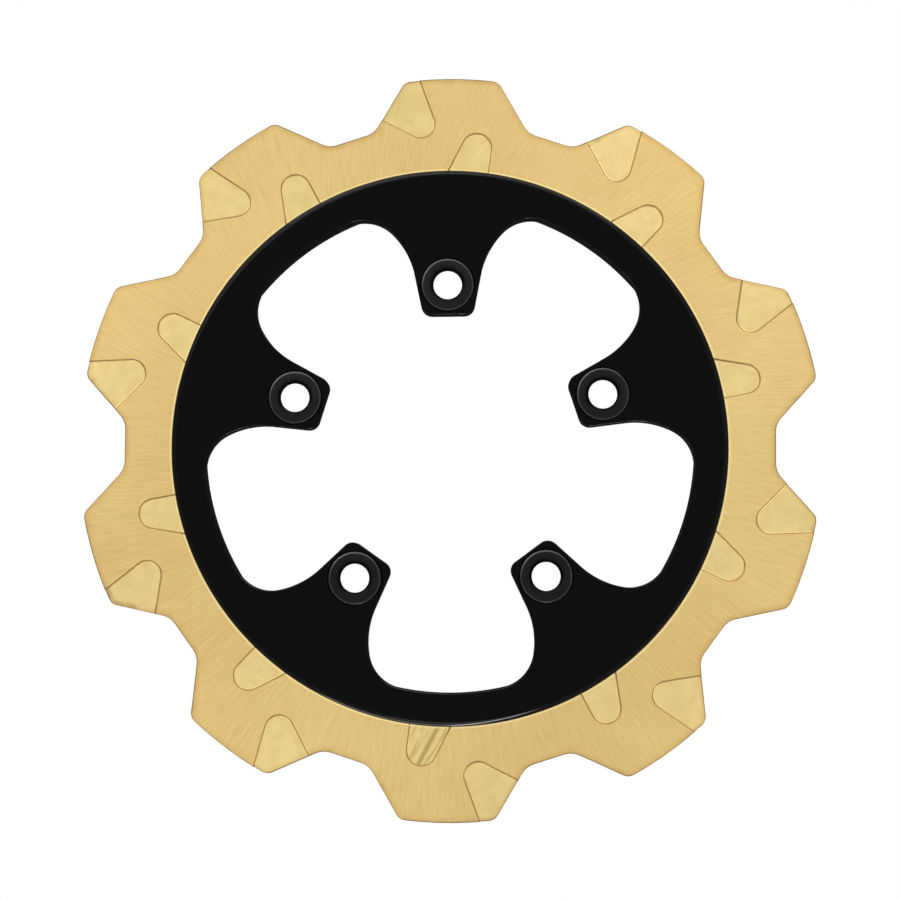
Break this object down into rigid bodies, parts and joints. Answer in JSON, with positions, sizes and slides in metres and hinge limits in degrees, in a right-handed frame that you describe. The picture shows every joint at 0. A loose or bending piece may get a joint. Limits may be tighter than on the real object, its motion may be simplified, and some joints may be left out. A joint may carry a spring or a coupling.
{
  "type": "brake disc rotor",
  "caption": "Two-piece motorcycle brake disc rotor: toothed gold steel friction ring with shallow pockets on a gloss black five-lug carrier, held from behind.",
  "frame": {"origin": "centre of the rotor, on the axle line and half way through the friction ring", "axes": "the axle line is Y: the outer face looks along -Y and the wheel is on the +Y side; +Z points at one lug and, within a degree, at one tooth"},
  "size_m": [0.2948, 0.013, 0.3],
  "materials": {
    "gold_steel": "ground, gold tinted",
    "gloss_black": "gloss black coat on billet",
    "black_plate": "satin black",
    "bush_steel": "satin dark grey",
    "bare_steel": "ground",
    "black_screw": "black oxide"
  },
  "bodies": {
    "carrier_group": {"carrier": "gloss_black", "retaining_ring": "black_plate", "mounting_bush_1": "bush_steel", "mounting_bush_2": "bush_steel", "mounting_bush_3": "bush_steel", "mounting_bush_4": "bush_steel", "mounting_bush_5": "bush_steel", "drive_pin_01": "bare_steel", "drive_pin_02": "bare_steel", "drive_pin_03": "bare_steel", "drive_pin_04": "bare_steel", "drive_pin_05": "bare_steel", "drive_pin_06": "bare_steel", "drive_pin_07": "bare_steel", "drive_pin_08": "bare_steel", "drive_pin_09": "bare_steel", "drive_pin_10": "bare_steel", "retaining_screw_01": "black_screw", "retaining_screw_02": "black_screw", "retaining_screw_03": "black_screw", "retaining_screw_04": "black_screw", "retaining_screw_05": "black_screw", "retaining_screw_06": "black_screw", "retaining_screw_07": "black_screw", "retaining_screw_08": "black_screw", "retaining_screw_09": "black_screw", "retaining_screw_10": "black_screw"},
    "ring_group": {"friction_ring": "gold_steel"}
  },
  "joints": [
    {"name": "ring_float", "type": "slide", "parent": "carrier_group", "child": "ring_group", "axis": [0, 1, 0], "range_m": [-0.0002, 0.0002]}
  ]
}
